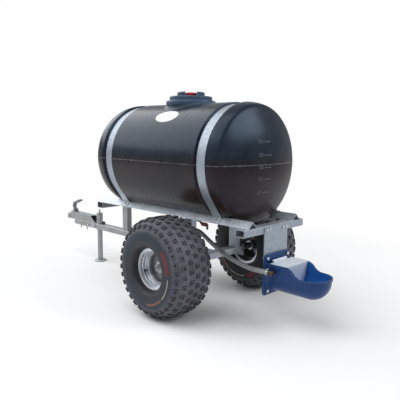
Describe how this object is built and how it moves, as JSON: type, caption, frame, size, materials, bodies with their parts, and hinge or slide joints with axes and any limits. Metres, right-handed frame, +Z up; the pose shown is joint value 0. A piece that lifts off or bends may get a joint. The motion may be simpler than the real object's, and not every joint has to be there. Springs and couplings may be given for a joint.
{
  "type": "wheeled water bowser",
  "caption": "Towed water bowser: horizontal domed tank strapped to a galvanised axle chassis with ball coupling, prop stand, outlet hose and a float-fed drinking bowl at the rear.",
  "frame": {"origin": "on the ground, under the middle of the overall length and width", "axes": "+X to the rear (bowl end), -X to the towing end, +Y to the right side, +Z up"},
  "size_m": [2.4698, 1.03, 1.2373],
  "materials": {
    "galvanised": "dull spangled zinc coating",
    "dark_steel": "dark zinc plating",
    "bright_steel": "bright zinc plating",
    "tank_black": "glossy moulded polyethylene",
    "fitting_black": "satin moulded plastic",
    "tyre_rubber": "dusty black tyre rubber",
    "seal_rubber": "matt rubber",
    "wheel_steel": "silver painted pressed steel",
    "red_plastic": "red moulded plastic",
    "brass": "dull cast brass",
    "hose_grey": "reinforced grey hose",
    "bowl_blue": "blue moulded plastic",
    "cover_pale": "pale satin sheet",
    "float_white": "white moulded plastic"
  },
  "bodies": {
    "chassis": {"drawbar": "galvanised", "axle_beam": "galvanised", "front_post": "galvanised", "rear_post_left": "galvanised", "rear_post_right": "galvanised", "front_crossbeam": "galvanised", "rear_crossbeam": "galvanised", "rail_left": "galvanised", "rail_right": "galvanised", "stub_axle_left": "dark_steel", "stub_axle_right": "dark_steel", "axle_nut_left": "bright_steel", "axle_nut_right": "bright_steel", "tank": "tank_black", "strap_front": "galvanised", "strap_rear": "galvanised", "strap_bolts": "bright_steel", "drain_plug": "fitting_black", "tank_outlet": "fitting_black", "valve_body": "brass", "hose_tail": "brass", "hose": "hose_grey", "hose_clips": "bright_steel", "inlet_elbow": "brass", "bowl_plate": "galvanised", "plate_bolts": "bright_steel", "bowl": "bowl_blue", "bowl_bolts": "bright_steel", "cover_pin": "bright_steel", "float_valve": "brass", "coupling_body": "galvanised", "lever_pin": "bright_steel", "coupling_bolts": "bright_steel", "cross_bolts": "bright_steel", "prop_sleeve": "galvanised"},
    "wheel_left": {"tyre_left": "tyre_rubber", "rim_left": "wheel_steel", "bearings_left": "bright_steel", "tyre_valve_left": "seal_rubber"},
    "wheel_right": {"tyre_right": "tyre_rubber", "rim_right": "wheel_steel", "bearings_right": "bright_steel", "tyre_valve_right": "seal_rubber"},
    "prop": {"prop_leg": "galvanised", "prop_foot": "galvanised", "prop_handle": "galvanised"},
    "lock": {"lock_screw": "dark_steel", "lock_knob": "fitting_black"},
    "coupling_handle": {"coupling_lever": "dark_steel"},
    "jaw": {"ball_jaw": "dark_steel"},
    "lid_seat": {"lid_seal": "seal_rubber"},
    "filler_lid": {"lid": "tank_black", "breather": "red_plastic"},
    "valve_handle": {"valve_ball": "bright_steel", "valve_lever": "dark_steel", "lever_grip": "red_plastic"},
    "cover": {"bowl_cover": "cover_pale"},
    "float": {"float_arm": "brass", "float_ball": "float_white"}
  },
  "joints": [
    {"name": "wheel_left_spin", "type": "hinge", "parent": "chassis", "child": "wheel_left", "pos_m": [0.43385, -0.38, 0.275], "axis": [0, 1, 0], "continuous": true},
    {"name": "wheel_right_spin", "type": "hinge", "parent": "chassis", "child": "wheel_right", "pos_m": [0.43385, 0.38, 0.275], "axis": [0, 1, 0], "continuous": true},
    {"name": "prop_slide", "type": "slide", "parent": "chassis", "child": "prop", "axis": [0, 0, 1], "range_m": [0, 0.2]},
    {"name": "lock_turn", "type": "hinge", "parent": "chassis", "child": "lock", "pos_m": [-0.79215, 0, 0.304], "axis": [1, 0, 0], "range_deg": [0, 360]},
    {"name": "coupling_close", "type": "hinge", "parent": "chassis", "child": "coupling_handle", "pos_m": [-1.14645, 0, 0.356], "axis": [0, 1, 0], "range_deg": [0, 40]},
    {"name": "jaw_slide", "type": "slide", "parent": "chassis", "child": "jaw", "axis": [-1, 0, 0], "range_m": [0, 0.008]},
    {"name": "lid_rise", "type": "slide", "parent": "chassis", "child": "lid_seat", "axis": [0, 0, 1], "range_m": [0, 0.016]},
    {"name": "lid_turn", "type": "hinge", "parent": "lid_seat", "child": "filler_lid", "pos_m": [0.23385, 0, 1.2], "axis": [0, 0, 1], "range_deg": [0, 720]},
    {"name": "valve_turn", "type": "hinge", "parent": "chassis", "child": "valve_handle", "pos_m": [0.23385, 0, 0.45067], "axis": [0, 1, 0], "range_deg": [0, 90]},
    {"name": "cover_lift", "type": "hinge", "parent": "chassis", "child": "cover", "pos_m": [0.92585, 0, 0.3368], "axis": [0, -1, 0], "range_deg": [0, 85]},
    {"name": "float_swing", "type": "hinge", "parent": "chassis", "child": "float", "pos_m": [0.96385, -0.049, 0.291], "axis": [1, 0, 0], "range_deg": [0, 22]}
  ],
  "couplings": [
    {"joint": "jaw_slide", "follows": "coupling_close", "m_per_rad": 0.01145},
    {"joint": "lid_rise", "follows": "lid_turn", "m_per_rad": 0.001273}
  ]
}
